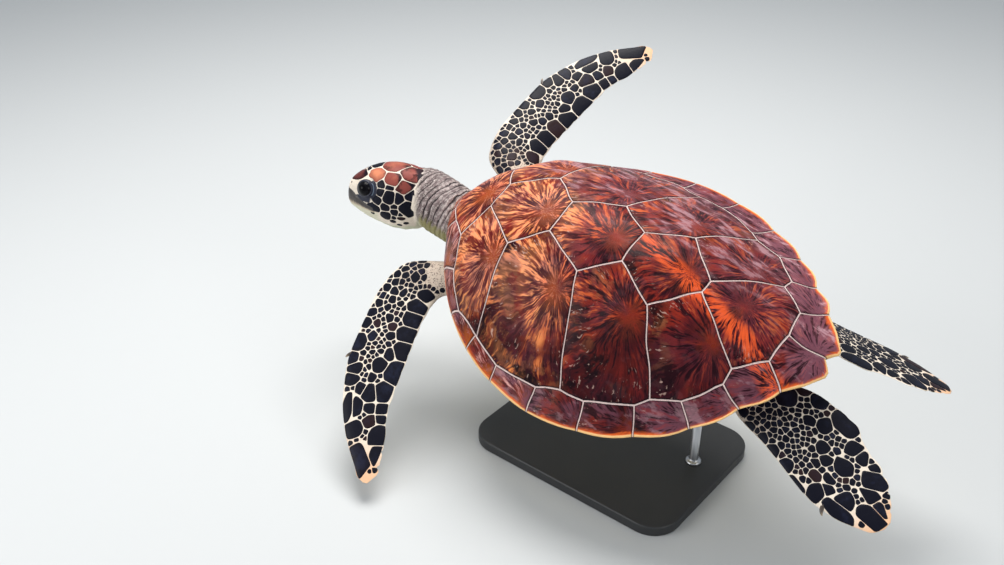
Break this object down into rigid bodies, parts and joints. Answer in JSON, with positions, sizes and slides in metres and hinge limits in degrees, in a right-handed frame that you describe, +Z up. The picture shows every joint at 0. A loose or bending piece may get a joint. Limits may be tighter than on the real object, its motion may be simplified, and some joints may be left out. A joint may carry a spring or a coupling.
{
  "type": "green sea turtle display model",
  "caption": "Still, life-size young green sea turtle in a swimming pose, front flippers spread and shell banked, held on rods over a flat base.",
  "frame": {"origin": "centre of the flat underside of the stand's base", "axes": "+Z up, -Y ahead along the turtle's way, +X to the turtle's left"},
  "size_m": [0.6924, 0.8754, 0.4443],
  "materials": {
    "shell_plate": "glossy horn plates, amber streaks over dark brown",
    "shell_margin": "glossy horn plates, dark red with an orange outer edge",
    "plastron": "satin pale yellow plates",
    "skin": "matt wrinkled grey-beige skin",
    "limb_skin": "satin dark scales with cream seams",
    "head_skin": "satin scales, red-brown above and dark on the cheek",
    "beak": "smooth dark horn with a pale edge",
    "eye": "wet gloss",
    "claw": "smooth horn",
    "stand_base": "satin black powder coat",
    "stand_rod": "brushed"
  },
  "bodies": {
    "root": {"nuchal": "shell_margin", "vertebral_1": "shell_plate", "vertebral_2": "shell_plate", "vertebral_3": "shell_plate", "vertebral_4": "shell_plate", "vertebral_5": "shell_plate", "costal_left_1": "shell_plate", "costal_right_1": "shell_plate", "costal_left_2": "shell_plate", "costal_right_2": "shell_plate", "costal_left_3": "shell_plate", "costal_right_3": "shell_plate", "costal_left_4": "shell_plate", "costal_right_4": "shell_plate", "marginal_left_1": "shell_margin", "marginal_right_1": "shell_margin", "marginal_left_2": "shell_margin", "marginal_right_2": "shell_margin", "marginal_left_3": "shell_margin", "marginal_right_3": "shell_margin", "marginal_left_4": "shell_margin", "marginal_right_4": "shell_margin", "marginal_left_5": "shell_margin", "marginal_right_5": "shell_margin", "marginal_left_6": "shell_margin", "marginal_right_6": "shell_margin", "marginal_left_7": "shell_margin", "marginal_right_7": "shell_margin", "marginal_left_8": "shell_margin", "marginal_right_8": "shell_margin", "marginal_left_9": "shell_margin", "marginal_right_9": "shell_margin", "marginal_left_10": "shell_margin", "marginal_right_10": "shell_margin", "marginal_left_11": "shell_margin", "marginal_right_11": "shell_margin", "marginal_left_12": "shell_margin", "marginal_right_12": "shell_margin", "plastron": "plastron", "trunk": "skin", "neck": "skin", "head": "head_skin", "lower_jaw": "head_skin", "beak": "beak", "eye_left": "eye", "eye_right": "eye", "tail": "skin", "flipper_front_left": "limb_skin", "flipper_front_right": "limb_skin", "flipper_hind_left": "limb_skin", "flipper_hind_right": "limb_skin", "claw_front_left": "claw", "claw_front_right": "claw", "claw_hind_left": "claw", "claw_hind_right": "claw", "stand_base": "stand_base", "stand_rod_front": "stand_rod", "stand_rod_rear": "stand_rod"}
  },
  "joints": []
}
